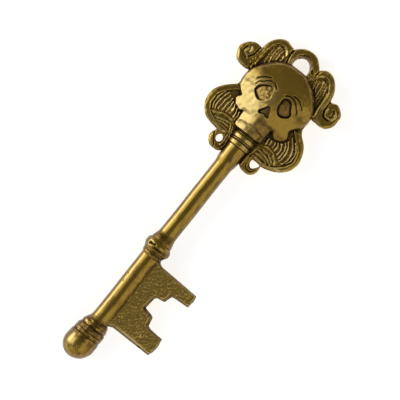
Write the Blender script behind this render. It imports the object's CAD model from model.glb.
"""A decorative skeleton key in worn antique brass: turned shank, cast bit and winged skull bow.

The key lies on a pale floor with its shank along Y and its face up. Shapes are worked out in
millimetres and settled into the frame in metres.
"""

import math

import bpy
import numpy as np
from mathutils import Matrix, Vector, kdtree


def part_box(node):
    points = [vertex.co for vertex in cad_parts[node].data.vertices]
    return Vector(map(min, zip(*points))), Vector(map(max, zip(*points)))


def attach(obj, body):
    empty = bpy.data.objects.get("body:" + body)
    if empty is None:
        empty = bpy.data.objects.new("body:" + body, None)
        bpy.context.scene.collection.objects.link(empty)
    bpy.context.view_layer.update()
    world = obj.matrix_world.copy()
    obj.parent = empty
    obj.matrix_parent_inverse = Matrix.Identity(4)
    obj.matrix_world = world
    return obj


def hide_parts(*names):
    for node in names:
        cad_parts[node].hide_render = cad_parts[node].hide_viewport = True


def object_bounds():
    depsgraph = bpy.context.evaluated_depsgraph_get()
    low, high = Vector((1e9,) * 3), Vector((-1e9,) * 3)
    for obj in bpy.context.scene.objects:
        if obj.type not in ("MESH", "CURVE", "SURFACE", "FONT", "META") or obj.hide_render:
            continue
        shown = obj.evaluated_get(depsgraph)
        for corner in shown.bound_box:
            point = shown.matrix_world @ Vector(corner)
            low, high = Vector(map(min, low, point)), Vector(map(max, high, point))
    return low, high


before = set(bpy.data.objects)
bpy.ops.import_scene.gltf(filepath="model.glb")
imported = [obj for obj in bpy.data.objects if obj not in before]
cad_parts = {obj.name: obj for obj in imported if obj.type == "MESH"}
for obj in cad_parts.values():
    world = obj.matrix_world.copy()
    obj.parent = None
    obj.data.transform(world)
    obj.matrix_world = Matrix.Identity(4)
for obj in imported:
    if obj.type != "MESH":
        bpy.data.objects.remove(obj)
cad_low, cad_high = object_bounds()

MM = 0.001


# Tools for meshes
def node_corners(node):
    """Lowest and highest corner of a piece of the frame, in millimetres."""
    low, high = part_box(node)
    return np.array(low) / MM, np.array(high) / MM


def read_points(piece, kind="co"):
    """Each point's place, or its normal where kind says so."""
    flat = np.empty(len(piece.data.vertices) * 3)
    piece.data.vertices.foreach_get(kind, flat)
    return flat.reshape(-1, 3)


def write_points(piece, points):
    piece.data.vertices.foreach_set("co", np.asarray(points, float).ravel())
    piece.data.update()


def deselect():
    bpy.ops.object.select_all(action="DESELECT")


def select_only(piece):
    deselect()
    piece.select_set(True)
    bpy.context.view_layer.objects.active = piece


def apply_modifier(piece, kind, **settings):
    select_only(piece)
    bpy.ops.object.modifier_add(type=kind)
    modifier = piece.modifiers[-1]
    for name, value in settings.items():
        setattr(modifier, name, value)
    bpy.ops.object.modifier_apply(modifier=modifier.name)


def remesh(piece, voxel, passes, factor=0.5):
    """Rebuild a mesh in even small faces and soften its edges."""
    apply_modifier(piece, "REMESH", mode="VOXEL", voxel_size=voxel, use_smooth_shade=True)
    if passes:
        apply_modifier(piece, "SMOOTH", factor=factor, iterations=passes)


def smoothstep(value, low, high):
    share = np.clip((value - low) / (high - low), 0, 1)
    return share * share * (3 - 2 * share)


def soft_min(first, second, blend):
    """The lower of two heights, with the edge between them rounded over blend."""
    mix = np.clip(0.5 + 0.5 * (second - first) / blend, 0, 1)
    return second + (first - second) * mix - blend * mix * (1 - mix)


def waves(points, length, seed, count=26):
    """A smooth random field from -1 to 1 or so: sine waves of about one length, all ways."""
    draw = np.random.default_rng(seed)
    ways = draw.normal(size=(count, 3))
    ways /= np.linalg.norm(ways, axis=1, keepdims=True)
    ways *= 2 * math.pi / (length * draw.uniform(0.7, 1.5, size=(count, 1)))
    phases = draw.uniform(0, 2 * math.pi, count)
    return np.sin(points @ ways.T + phases).sum(axis=1) / math.sqrt(count)


def line_distance(x, y, line, closed=False):
    """Distance from each place to a line through points."""
    ends = line[1:] + line[:1] if closed else line[1:]
    nearest = np.full(x.shape, np.inf)
    for (ax, ay), (bx, by) in zip(line, ends):
        across, along = bx - ax, by - ay
        share = ((x - ax) * across + (y - ay) * along) / (across**2 + along**2)
        share = np.clip(share, 0, 1)
        gap = np.hypot(x - ax - share * across, y - ay - share * along)
        nearest = np.minimum(nearest, gap)
    return nearest


def inside_depth(x, y, outline):
    """Distance inside a closed outline, and less than zero outside it."""
    inside = np.zeros(x.shape, bool)
    for (ax, ay), (bx, by) in zip(outline, outline[1:] + outline[:1]):
        crosses = (ay > y) != (by > y)
        level = ax + (y - ay) * (bx - ax) / (by - ay if by != ay else math.inf)
        inside ^= crosses & (x < level)
    gap = line_distance(x, y, outline, closed=True)
    return np.where(inside, gap, -gap)


def curve(points, steps=3, closed=False):
    """A smooth line through points, steps to each stretch."""
    count = len(points)
    line = []
    for index in range(count if closed else count - 1):
        picks = [index - 1, index, index + 1, index + 2]
        if closed:
            picks = [pick % count for pick in picks]
        else:
            picks = [min(max(pick, 0), count - 1) for pick in picks]
        a, b, c, d = (np.array(points[pick]) for pick in picks)
        for step in range(steps):
            u = step / steps
            place = 0.5 * (2 * b + (c - a) * u + (2 * a - 5 * b + 4 * c - d) * u**2
                           + (3 * b - a - 3 * c + d) * u**3)
            line.append(tuple(place))
    if not closed:
        line.append(tuple(points[-1]))
    return line


def curve_distance(x, y, points, steps=3):
    """Distance from each place to the smooth line through points."""
    return line_distance(x, y, curve(points, steps))


# Places along the key, from the frame
ball_low, ball_high = node_corners("ball_finial")
axis_z = (ball_low[2] + ball_high[2]) / 2
shank_start = node_corners("taper_ring")[1][1]
knop_start = node_corners("knop_base_ring")[0][1]
knop_end = node_corners("knop_reeded_ring")[1][1]
neck_start = node_corners("neck_ring")[0][1]
plate_low, plate_high = node_corners("bow_plate")
floor_z = plate_high[2]
rim_top = node_corners("right_wing_rim")[1][2]
loop_top = node_corners("hanging_loop")[1][2]
curl_foot, curl_top = (corner[2] for corner in node_corners("right_curl"))


# Irregularities of the casting, the same for every piece, so that neighbours still meet.
# Each rough end is a place along the key and its reach.
ROUGH_ENDS = ((-60.5, 3.4), (-20.5, 4.0))
SHANK_BEND = 0.75
NECK_GROOVE_Y = 30.8
BALL_REACH = 6.4


def bell(value, middle, width):
    return np.exp(-((value - middle) / width) ** 2)


def as_cast(points):
    """Move points as the hand-made pattern differs from a true one."""
    x, y, _ = points.T
    moved = points.copy()
    ends = sum(bell(y, *place) for place in ROUGH_ENDS)
    for side in range(3):
        moved[:, side] += 0.05 * waves(points, 17.0, seed=20 + side)
        moved[:, side] += 0.012 * waves(points, 3.5, seed=30 + side)
        moved[:, side] += 0.11 * ends * waves(points, 3.2, seed=40 + side)
    moved[:, 0] -= SHANK_BEND * smoothstep(y, shank_start + 3.0, ball_low[1] + 4.0)
    moved[:, 1] -= 0.09 * bell(y, (knop_start + knop_end) / 2, 5.0) * x

    # The neck's groove sags toward the shank's sides
    sag = bell(y, NECK_GROOVE_Y, 0.9) * smoothstep(np.abs(x), 7.5, 5.2)
    moved[:, 1] += sag * (0.15 - np.where(x < 0, 0.45, 0.30) * (x / 4.5) ** 2)

    # The ball is flattened on its right side, toward its end
    below = ball_low[1] + BALL_REACH - y
    flat = np.clip((0.75 * (x + 0.8) + 0.66 * below) / BALL_REACH, 0, 1) ** 4
    flat = flat * smoothstep(below, 0.0, 3.0)
    moved[:, 0] -= 0.20 * flat
    moved[:, 1] += 0.26 * flat
    return moved


# Turned pieces: places along the key and the radii there
TURNED_OUTLINE = [
    (-68.6, 6.36), (-66.2, 6.27), (-65.4, 6.20), (-64.5, 6.08), (-63.5, 6.05), (-62.4, 5.95),
    (-61.6, 5.87), (-60.9, 5.66), (-60.1, 5.49), (-59.3, 5.35), (-58.5, 5.10), (-57.8, 4.70),
    (-57.0, 4.39), (-56.2, 4.06), (-55.5, 3.98), (-46.0, 3.98), (-30.0, 3.96), (-25.8, 3.97),
    (-25.2, 4.12), (-24.65, 4.45), (-23.9, 4.62), (-23.1, 4.81), (-22.3, 5.20), (-21.57, 5.42),
    (-20.8, 5.40), (-20.0, 5.35), (-19.3, 5.10), (-18.5, 4.78), (-17.7, 4.58), (-16.95, 4.30),
    (-16.2, 4.02), (-15.4, 3.85), (-14.6, 3.75), (-13.0, 3.73), (0.0, 3.72), (18.0, 3.73),
    (19.3, 3.76), (20.0, 3.86), (20.8, 4.05), (22.0, 4.24), (25.0, 4.33), (28.1, 4.36),
    (28.5, 4.84), (29.4, 5.00), (30.2, 4.96), (30.8, 4.90), (31.6, 5.04), (32.4, 5.14),
    (33.0, 5.06), (34.3, 4.90),
]
# Each groove's place along the key, its depth and its width
GROOVES = [
    (-64.41, 0.36, 0.20), (-63.55, 0.12, 0.12), (-62.7, 0.26, 0.18), (-60.45, 0.36, 0.20),
    (-58.75, 0.20, 0.22), (-57.0, 0.26, 0.28), (-23.85, 0.24, 0.18), (-18.7, 0.26, 0.18),
    (-17.95, 0.12, 0.15), (-17.2, 0.12, 0.17), (28.3, 0.10, 0.16),
    (30.45, 0.60, 0.18), (31.22, 0.50, 0.15), (33.25, 0.55, 0.15), (33.95, 0.60, 0.17),
]


def radius_at(y):
    outline = np.array(curve(TURNED_OUTLINE, 4))
    radius = float(np.interp(y, outline[:, 0], outline[:, 1]))
    for place, depth, width in GROOVES:
        radius -= depth * math.exp(-((y - place) / width) ** 2)
    return radius


def turned(node, start, end, step, sides, tip=()):
    """Draw a ring out along the key, step by step, to the outline's radii."""
    count = round((end - start) / step)
    places = [start + (end - start) * share / count for share in range(count + 1)]
    stations = [*tip] + [(place, radius_at(place)) for place in places]
    deselect()
    place, radius = stations[0]
    bpy.ops.mesh.primitive_circle_add(
        vertices=sides, radius=radius, fill_type="NGON",
        location=(0, place, axis_z), rotation=(math.pi / 2, 0, 0),
    )
    piece = bpy.context.object
    bpy.ops.object.transform_apply()
    bpy.ops.object.mode_set(mode="EDIT")
    for (before, wide), (after, narrow) in zip(stations, stations[1:]):
        bpy.ops.mesh.extrude_region_move(
            TRANSFORM_OT_translate={"value": (0, after - before, 0)})
        share = narrow / wide
        bpy.ops.transform.resize(value=(share, 1, share), center_override=(0, after, axis_z))
    bpy.ops.mesh.select_all(action="SELECT")
    bpy.ops.mesh.normals_make_consistent(inside=False)
    bpy.ops.object.mode_set(mode="OBJECT")
    piece.name = node + "_shape"
    return piece


BALL_RADIUS = 6.36
BALL_STEPS = 64
BALL_SET_IN = 0.03


def ball_tip():
    """The rounded end of the ball, up to its widest place."""
    turns = [math.pi / 2 * step / BALL_STEPS for step in range(2, BALL_STEPS)]
    return [(ball_low[1] + BALL_SET_IN + BALL_RADIUS * (1 - math.cos(turn)),
             BALL_RADIUS * math.sin(turn) ** 0.93) for turn in turns]


# Marks on the turned pieces' upper side: a line, its depth and its width
MARKS = [
    ([(-3.45, -21.4), (-3.1, -21.2)], 0.80, 0.40),
    ([(-2.6, -21.15), (-2.0, -20.95), (-1.3, -20.6)], 0.50, 0.24),
    ([(-1.2, -21.8), (0.2, -21.65), (1.9, -21.6), (3.8, -21.4), (5.1, -20.9)], 0.55, 0.36),
    ([(0.3, -69.4), (0.35, -69.3)], 0.45, 0.30),
    ([(0.3, -70.5), (0.35, -70.4)], 0.45, 0.30),
    ([(-3.1, -35.4), (-3.0, -35.5)], 0.22, 0.22),
    ([(-2.7, -38.9), (-2.7, -39.0)], 0.22, 0.22),
    ([(0.8, -60.3), (2.1, -60.5), (3.5, -60.7)], 0.25, 0.20),
    ([(-4.2, -58.6), (-3.0, -58.9), (-1.8, -58.5)], 0.20, 0.24),
    ([(-6.0, -61.9), (-4.6, -62.2), (-3.2, -61.8), (-2.1, -61.4)], 0.16, 0.20),
    ([(-1.0, 28.6), (-0.4, 28.2), (0.9, 28.3)], 0.08, 0.30),
]


def mark_turned(piece):
    """Press the marks into the upper side of a turned piece."""
    points = read_points(piece)
    x, y, z = points.T
    upper = smoothstep(z, axis_z - 0.5, axis_z + 1.5)
    for line, depth, width in MARKS:
        gap = line_distance(x, y, line)
        points[:, 2] -= depth * bell(gap, 0.0, width) * upper
    write_points(piece, points)


# The step along each turned piece and the number of its sides
TURNED_PIECES = {
    "ball_finial": (0.12, 200), "rim_ring": (0.1, 200), "middle_ring": (0.1, 200),
    "taper_ring": (0.1, 200), "lower_shank": (0.22, 160), "knop_base_ring": (0.1, 200),
    "knop_bead": (0.11, 220), "knop_reeded_ring": (0.1, 200), "upper_shank": (0.25, 150),
    "neck_ring": (0.09, 180), "throat_ring": (0.09, 180),
}


def turned_pieces():
    shapes = {}
    for node, (step, sides) in TURNED_PIECES.items():
        low, high = node_corners(node)
        start, end = low[1], high[1]
        tip = ()
        if node == "ball_finial":
            start, tip = low[1] + BALL_SET_IN + BALL_RADIUS, ball_tip()
        elif node == "lower_shank":
            start, end = shank_start, knop_start
        elif node == "upper_shank":
            start, end = knop_end, neck_start
        shapes[node] = turned(node, start, end, step, sides, tip)
        mark_turned(shapes[node])
    return shapes


# Carving: an outline is raised from the plate, and its face is cut to a height at each place.
# The raw block's height and the margin at its edges are shares of the size of its faces.
BLOCK_HEIGHT = 3.2
BLOCK_MARGIN = 0.3


def carved(node, outline, foot, face, voxel, passes=1, back=None):
    """Raise a closed outline and carve its face, both in millimetres of the frame.

    face gives the height at each x and y, and back, where there is one, the underside's.
    """
    deselect()
    bpy.ops.mesh.primitive_circle_add(vertices=len(outline), fill_type="NGON")
    piece = bpy.context.object
    piece.name = node + "_shape"
    block = BLOCK_HEIGHT * voxel
    write_points(piece, [(x, y, 0.0) for x, y in outline])
    bpy.ops.object.mode_set(mode="EDIT")
    bpy.ops.mesh.select_all(action="SELECT")
    bpy.ops.mesh.extrude_region_move(TRANSFORM_OT_translate={"value": (0, 0, block)})
    bpy.ops.mesh.select_all(action="SELECT")
    bpy.ops.mesh.normals_make_consistent(inside=False)
    bpy.ops.object.mode_set(mode="OBJECT")
    remesh(piece, voxel, 2)
    points = read_points(piece)
    x, y = points[:, 0], points[:, 1]
    low = back(x, y) if back else foot
    margin = BLOCK_MARGIN * voxel
    share = smoothstep(points[:, 2], margin, block - margin)
    drift_x, drift_y = 0.10 * texture(x, y, 2.4, 61), 0.10 * texture(x, y, 2.4, 62)
    points[:, 2] = low + share * (face(x + drift_x, y + drift_y) - low)
    write_points(piece, points)
    if passes:
        apply_modifier(piece, "SMOOTH", factor=0.35, iterations=passes)
    return piece


def swell(gap, width):
    """From 1 on a crest to 0 at its width."""
    return 0.5 + 0.5 * np.cos(math.pi * np.clip(gap / width, 0, 1))


def crests(x, y, lines, width):
    """The share of a ridge's height at each place, for ridges along lines."""
    nearest = np.full(x.shape, np.inf)
    for line in lines:
        nearest = np.minimum(nearest, curve_distance(x, y, line))
    return swell(nearest, width)


def cut(x, y, line, width):
    """The share of a groove's depth at each place."""
    return bell(curve_distance(x, y, line), 0.0, width)


def drop(depth, reach):
    """The share by which a rounded edge falls, from 1 at the edge to 0 at its reach."""
    return (1 - np.clip(depth / reach, 0, 1)) ** 2


def oval(x, y, middle, half):
    """From 1 in the middle of an oval to 0 at its edge."""
    return np.clip(1 - ((x - middle[0]) / half[0]) ** 2 - ((y - middle[1]) / half[1]) ** 2, 0, 1)


def texture(x, y, length, seed):
    return waves(np.stack([x, y, 0 * x], 1), length, seed)


def grains(x, y, seed):
    """Punched grains: round tops with narrow hollows between."""
    return np.clip(0.25 + 0.9 * texture(x, y, 0.85, seed), -0.5, 1.0)


def shifted(line, distance):
    """A line moved to its left by a distance."""
    moved = []
    for index, (x, y) in enumerate(line):
        (ax, ay), (bx, by) = line[max(index - 1, 0)], line[min(index + 1, len(line) - 1)]
        length = math.hypot(bx - ax, by - ay)
        moved.append((x - distance * (by - ay) / length, y + distance * (bx - ax) / length))
    return moved


# The bit: its outline where the drafted walls meet, and the edge of its face
BIT_EDGE = [
    (2.0, -24.4), (3.6, -24.0), (4.43, -24.3), (4.9, -25.2), (6.2, -25.7), (11.5, -25.75),
    (23.4, -25.85), (23.85, -28.5), (23.5, -31.9), (17.3, -32.35), (16.2, -32.6), (15.6, -34.5),
    (15.2, -35.8), (11.9, -36.5), (11.3, -37.4), (11.0, -41.2), (10.9, -42.0), (14.6, -42.8),
    (15.4, -43.4), (15.8, -45.4), (16.2, -46.8), (17.7, -47.25), (23.3, -47.6), (23.9, -51.2),
    (23.6, -53.9), (22.9, -55.85), (7.7, -55.85), (5.8, -55.9), (4.5, -56.5), (3.5, -57.3),
    (2.0, -57.3),
]
BIT_FACE = [
    (-4.0, -22.0), (1.0, -22.0), (3.0, -25.4), (5.8, -26.6), (22.9, -26.6), (23.2, -28.5),
    (23.1, -31.2), (17.3, -31.2), (14.8, -31.5), (14.2, -34.7), (13.7, -35.4), (11.5, -35.8),
    (10.4, -36.2), (10.0, -37.4), (9.8, -40.8), (9.6, -42.4), (10.4, -43.0), (12.7, -43.4),
    (14.1, -43.9), (14.4, -45.4), (14.6, -47.0), (15.8, -47.75), (17.7, -48.15), (22.9, -48.15),
    (23.3, -51.2), (22.7, -55.0), (7.7, -55.0), (5.4, -54.8), (3.0, -56.0), (1.0, -60.0),
    (-4.0, -60.0),
]
bit_low, bit_high = node_corners("bit")
bit_middle = (bit_low[2] + bit_high[2]) / 2


def bit_wall(x, y):
    """From 0 at the bit's outline to 1 on its face."""
    outer = line_distance(x, y, BIT_EDGE, closed=True)
    inner = line_distance(x, y, BIT_FACE, closed=True)
    on_face = inside_depth(x, y, BIT_FACE) > 0
    return np.where(on_face, 1.0, outer / (outer + inner + 1e-9))


def bit_face(x, y):
    """A grainy face with a sunk step along its lower edge."""
    wall = bit_wall(x, y)
    height = bit_middle + (bit_high[2] - bit_middle - 0.06) * wall ** 0.8
    sunk = 0.55 * smoothstep(y, -54.1, -55.2) * smoothstep(x, 5.5, 8.5) * smoothstep(x, 23.5, 20.0)
    grain = 0.055 * texture(x, y, 1.0, 51) + 0.04 * texture(x, y, 0.55, 52)
    grain += 0.13 * texture(x, y, 1.3, 53) * (bell(x, 20.0, 1.8) * bell(y, -28.5, 1.7)
                                             + bell(x, 15.0, 1.5) * bell(y, -51.3, 1.6))
    return height - sunk + (grain - 0.03) * wall


def bit_back(x, y):
    drop_to_back = (bit_middle - bit_low[2] - 0.06) * bit_wall(x, y) ** 0.8
    return bit_middle - drop_to_back + 0.04 * texture(x, y, 1.1, 54)


# Lines of the bow's pattern, in millimetres of the frame, for its right and its left side
WING_EDGE = {
    "right": [
        (4.2, 28.2), (6.9, 28.2), (9.2, 28.3), (11.6, 28.0), (13.1, 28.2), (14.6, 28.7), (16.9, 29.6),
        (19.3, 31.2), (21.0, 33.1), (21.9, 35.0), (22.4, 37.7), (21.9, 40.4), (20.8, 42.9),
        (19.3, 44.9), (17.7, 46.2), (16.4, 47.4),
    ],
    "left": [
        (-4.2, 28.5), (-6.9, 28.6), (-9.2, 28.7), (-10.8, 28.9), (-12.7, 29.2), (-14.6, 29.5),
        (-16.6, 30.0), (-18.1, 30.9), (-19.6, 32.4), (-20.8, 34.1), (-21.4, 35.8), (-21.6, 37.7),
        (-21.4, 39.7), (-20.8, 41.4), (-19.3, 43.7), (-17.3, 45.8), (-15.4, 47.5),
    ],
}
WING_CREST = {
    "right": [
        (4.2, 30.0), (8.5, 29.8), (11.6, 29.6), (14.1, 30.0), (16.0, 31.1), (17.7, 32.5), (19.1, 33.9),
        (19.9, 35.4), (20.3, 37.2), (20.2, 38.9), (19.8, 40.2), (19.0, 41.6), (17.7, 42.9),
        (16.2, 44.1), (14.8, 45.3), (13.6, 46.5), (12.7, 47.2),
    ],
    "left": [
        (-4.2, 30.4), (-7.7, 30.4), (-10.8, 30.5), (-12.7, 30.9), (-14.6, 31.6), (-16.4, 32.5),
        (-17.7, 33.7), (-18.6, 35.0), (-19.0, 37.0), (-19.0, 38.9), (-18.4, 41.0), (-17.1, 42.9),
        (-15.4, 44.6), (-13.9, 45.8), (-12.7, 46.8),
    ],
}
FEATHERS = {
    "right": [
        [(16.6, 43.5), (17.9, 42.1), (19.0, 40.4), (19.4, 38.5), (19.3, 36.6), (18.7, 35.0)],
        [(14.1, 44.3), (15.0, 43.2), (16.2, 42.2), (17.1, 40.8), (17.8, 39.3), (18.1, 37.7),
         (18.0, 36.2), (17.7, 34.9), (17.3, 33.9)],
        [(13.9, 42.2), (14.8, 41.1), (15.6, 39.7), (16.1, 38.1), (16.2, 36.6), (16.0, 35.0),
         (15.8, 34.0)],
        [(13.3, 41.1), (14.1, 40.2), (14.8, 38.9), (15.0, 37.5), (15.0, 36.0), (14.9, 34.7)],
        [(12.5, 39.9), (13.2, 38.9), (13.6, 37.5), (13.6, 36.2), (13.6, 35.6)],
        [(11.3, 39.3), (11.8, 38.3), (11.9, 37.2), (11.9, 36.2)],
        [(10.2, 38.7), (10.5, 37.7), (10.5, 36.8)],
        [(8.7, 38.7), (8.9, 37.7), (8.9, 36.6)],
        [(7.5, 38.5), (7.6, 36.2)],
    ],
    "left": [
        [(-17.1, 42.4), (-17.7, 40.8), (-18.0, 39.1), (-18.0, 37.4), (-17.7, 35.6), (-17.2, 34.5)],
        [(-15.6, 43.1), (-16.2, 41.2), (-16.6, 39.3), (-16.7, 37.5), (-16.6, 35.8), (-16.2, 34.7)],
        [(-14.4, 42.4), (-14.9, 40.4), (-15.1, 38.5), (-15.2, 36.8), (-15.1, 35.4)],
        [(-13.1, 42.0), (-13.3, 40.0), (-13.5, 38.3), (-13.6, 37.0), (-13.6, 35.9)],
        [(-12.2, 41.0), (-11.9, 39.5), (-11.8, 37.9), (-11.9, 36.5)],
        [(-10.9, 40.8), (-10.5, 39.5), (-10.4, 37.9), (-10.4, 36.7)],
        [(-9.4, 39.9), (-8.9, 38.7), (-8.6, 37.4), (-8.4, 36.2)],
        [(-7.7, 39.5), (-7.5, 37.7), (-7.5, 35.8)],
    ],
}
TIER_EDGE = {
    "right": [
        (6.2, 34.9), (7.7, 35.7), (9.2, 36.3), (11.0, 36.2), (12.7, 35.7), (14.2, 34.8), (15.6, 33.8),
        (16.9, 33.4), (18.5, 33.2),
    ],
    "left": [
        (-6.9, 35.2), (-8.1, 35.8), (-10.0, 36.3), (-11.9, 36.2), (-13.7, 35.7), (-15.2, 35.0),
        (-16.6, 34.0), (-17.9, 33.4),
    ],
}
LEAVES = {
    "right": [
        [(8.1, 35.4), (9.6, 35.5), (11.4, 35.2), (13.1, 34.3), (14.4, 33.1), (15.4, 32.0)],
        [(8.3, 34.1), (10.0, 33.8), (11.9, 33.0), (13.7, 32.0)],
        [(7.3, 32.7), (9.2, 32.6), (11.2, 32.0), (12.9, 31.1), (14.2, 30.4)],
        [(7.3, 31.4), (8.9, 31.4), (10.8, 30.9), (12.3, 30.2)],
    ],
    "left": [
        [(-8.3, 35.3), (-10.4, 35.4), (-12.3, 35.2), (-14.2, 34.3), (-16.0, 33.4)],
        [(-8.1, 33.9), (-10.0, 33.7), (-11.9, 33.1), (-13.9, 32.4)],
        [(-7.9, 32.4), (-10.0, 32.4), (-11.9, 31.9), (-13.5, 31.4)],
        [(-7.7, 31.1), (-9.6, 31.2), (-11.6, 31.0), (-13.1, 30.8)],
    ],
}
ROUGH_LEAVES = {"right": ((11.5, 33.3), (2.3, 1.3)), "left": ((-10.6, 32.6), (2.2, 1.0))}
CURL = {
    "right": [
        (4.0, 29.3), (4.0, 23.9), (4.8, 23.3), (5.8, 22.7), (6.9, 22.4), (8.5, 22.3), (9.8, 22.6),
        (11.0, 23.6), (11.7, 25.0), (11.8, 26.4), (11.6, 27.3), (11.4, 28.6), (11.1, 28.6),
        (10.9, 27.5), (10.4, 26.5), (9.6, 25.6), (8.9, 25.2), (8.1, 25.6), (7.5, 26.3), (7.3, 27.1),
        (7.4, 27.8), (7.5, 29.3),
    ],
    "left": [
        (-10.4, 29.4), (-10.8, 28.7), (-11.1, 27.9), (-11.6, 26.8), (-11.7, 25.2), (-10.8, 23.6),
        (-9.4, 22.5), (-7.7, 22.3), (-5.8, 22.4), (-4.6, 23.2), (-4.0, 23.7), (-4.0, 29.4),
        (-7.8, 29.4), (-7.8, 28.6), (-7.4, 28.3), (-6.8, 27.8), (-6.5, 26.8), (-6.9, 25.7),
        (-7.9, 25.2), (-8.9, 25.8), (-9.2, 26.8), (-8.9, 27.8), (-8.4, 28.3), (-8.0, 28.6),
        (-8.0, 29.4),
    ],
}
CURL_LINE = {
    "right": [(6.4, 27.8), (6.4, 25.8), (7.1, 24.3), (8.6, 23.8), (10.0, 24.5), (10.9, 26.2)],
    "left": [(-10.8, 28.4), (-10.3, 27.1), (-9.7, 26.0), (-8.9, 24.8), (-8.2, 23.7), (-7.9, 22.5)],
}
LEFT_CRESCENT = CURL_LINE["left"] + [(-8.1, 21.5), (-13.0, 21.5), (-13.0, 29.0)]
ARCH_EDGE = {
    "right": [
        (6.3, 65.8), (6.5, 68.5), (6.5, 71.0), (7.5, 72.1), (8.5, 72.7), (10.0, 72.9), (11.9, 72.5),
        (13.9, 71.1), (15.4, 69.3), (16.4, 67.4), (16.9, 65.5), (17.2, 64.4), (18.1, 64.4),
        (18.9, 64.8), (19.8, 65.0), (21.2, 64.7), (22.3, 63.9), (23.3, 63.0), (24.0, 61.6),
        (24.2, 60.1), (24.1, 58.5), (23.7, 56.9), (22.7, 55.5), (21.4, 54.5), (19.3, 54.1),
        (17.3, 54.2), (16.2, 54.1), (15.2, 54.5),
    ],
    "left": [
        (-6.3, 65.8), (-6.5, 68.5), (-6.5, 71.2), (-7.1, 71.6), (-8.3, 71.9), (-10.0, 72.4),
        (-11.6, 72.2), (-13.1, 71.3), (-14.4, 70.1), (-15.5, 68.5), (-16.2, 66.6), (-16.5, 64.9),
        (-16.7, 64.2), (-18.1, 64.5), (-19.3, 64.4), (-20.8, 63.8), (-22.1, 62.8), (-23.1, 61.5),
        (-23.7, 60.0), (-23.7, 58.5), (-23.1, 57.0), (-22.3, 55.6), (-21.2, 54.8), (-19.8, 54.3),
        (-18.1, 54.1), (-16.4, 54.2), (-15.3, 54.6),
    ],
}
ARCH_FOOT = {
    "right": [
        (6.5, 65.8), (7.3, 67.6), (8.3, 68.9), (9.4, 69.7), (10.6, 69.7), (11.8, 68.9), (12.9, 67.6),
        (13.7, 66.0), (13.9, 64.3), (13.9, 62.4), (13.9, 59.7), (14.1, 57.8), (14.4, 56.2),
    ],
    "left": [
        (-6.7, 65.8), (-7.3, 67.0), (-8.3, 68.4), (-9.2, 69.2), (-10.4, 69.4), (-11.6, 69.2),
        (-12.6, 68.1), (-13.4, 66.2), (-13.6, 64.3), (-13.7, 62.4), (-13.7, 59.7), (-13.9, 57.8),
        (-14.4, 56.2),
    ],
}
VOLUTE_GAP = {
    "right": [
        (17.2, 64.6), (17.1, 62.4), (17.2, 60.8), (17.7, 59.0), (18.6, 58.0), (19.8, 57.7),
        (21.0, 57.9),
    ],
    "left": [(-16.8, 64.5), (-16.9, 63.0), (-17.3, 61.4), (-17.6, 59.7), (-18.5, 58.5)],
}
VOLUTE_EYE = {
    "right": [(20.2, 62.3), (20.8, 61.4), (20.9, 60.3), (20.5, 59.5)],
    "left": [(-21.2, 61.2), (-21.7, 59.9), (-21.4, 58.6), (-20.3, 57.7), (-19.0, 57.4)],
}
CRESCENTS = {
    "right": [
        [(17.8, 61.6), (18.0, 60.3), (18.5, 59.2), (19.4, 58.6), (20.3, 58.8)],
        [(21.2, 62.2), (22.0, 61.3), (22.2, 60.2), (21.8, 59.0)],
    ],
    "left": [
        [(-20.5, 61.0), (-20.9, 59.8), (-20.5, 58.9), (-19.5, 58.4)],
        [(-19.4, 62.0), (-19.0, 61.2), (-19.1, 60.2)],
    ],
}
SCROLL_LINES = {
    "right": [[(16.6, 67.4), (16.6, 64.7), (16.6, 62.4), (16.6, 59.7)]],
    "left": [
        [(-12.7, 70.5), (-11.6, 71.1), (-10.0, 71.2), (-8.5, 71.1), (-6.9, 70.8)],
        [(-22.3, 61.6), (-21.4, 62.8), (-20.0, 63.5), (-18.1, 63.7), (-17.1, 63.2)],
    ],
}
SCROLL_PATCH = {"right": None, "left": ((-15.8, 58.9), (1.9, 3.2))}
CROWN_RIBS = {
    "right": [
        [(9.3, 67.7), (9.2, 65.9), (10.0, 63.8)],
        [(10.4, 68.6), (10.9, 67.2), (11.1, 65.4), (11.1, 63.6), (11.2, 62.4)],
        [(12.6, 68.0), (12.9, 66.4), (13.1, 64.4)],
    ],
    "left": [
        [(-11.3, 68.6), (-11.6, 67.0), (-11.6, 65.0), (-11.2, 62.8), (-10.9, 61.6)],
        [(-9.2, 68.3), (-9.5, 66.8), (-9.5, 65.2), (-9.2, 63.8)],
        [(-7.8, 67.0), (-7.7, 65.8), (-7.8, 64.7)],
    ],
}
FAINT_RIBS = {
    "right": [
        [(8.2, 67.4), (8.2, 65.8), (8.5, 64.3)],
        [(11.7, 68.6), (11.9, 66.4), (12.0, 64.2), (12.0, 61.8)],
        [(13.6, 65.0), (13.6, 62.8), (13.4, 60.6)],
    ],
    "left": [
        [(-10.4, 68.9), (-10.6, 67.0), (-10.4, 64.7), (-10.3, 62.8)],
        [(-12.6, 67.0), (-12.8, 64.7), (-12.5, 62.4), (-12.1, 60.5)],
    ],
}

# The stems beside the neck: each one's line, its half width and how deep its beads are cut
STEMS = [
    ([(5.0, 24.1), (5.1, 26.2), (5.2, 28.1), (5.4, 30.0), (6.0, 32.0), (6.5, 33.9)], 0.7, 0.22),
    ([(-5.9, 25.2), (-5.7, 27.0), (-5.8, 28.9), (-6.2, 30.6), (-6.8, 32.5), (-7.7, 34.3)], 0.7, 0.0),
    ([(-4.8, 24.3), (-4.8, 26.6), (-4.9, 28.5), (-5.2, 30.0), (-5.8, 32.2), (-6.7, 34.1)], 0.55, 0.2),
]

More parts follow.
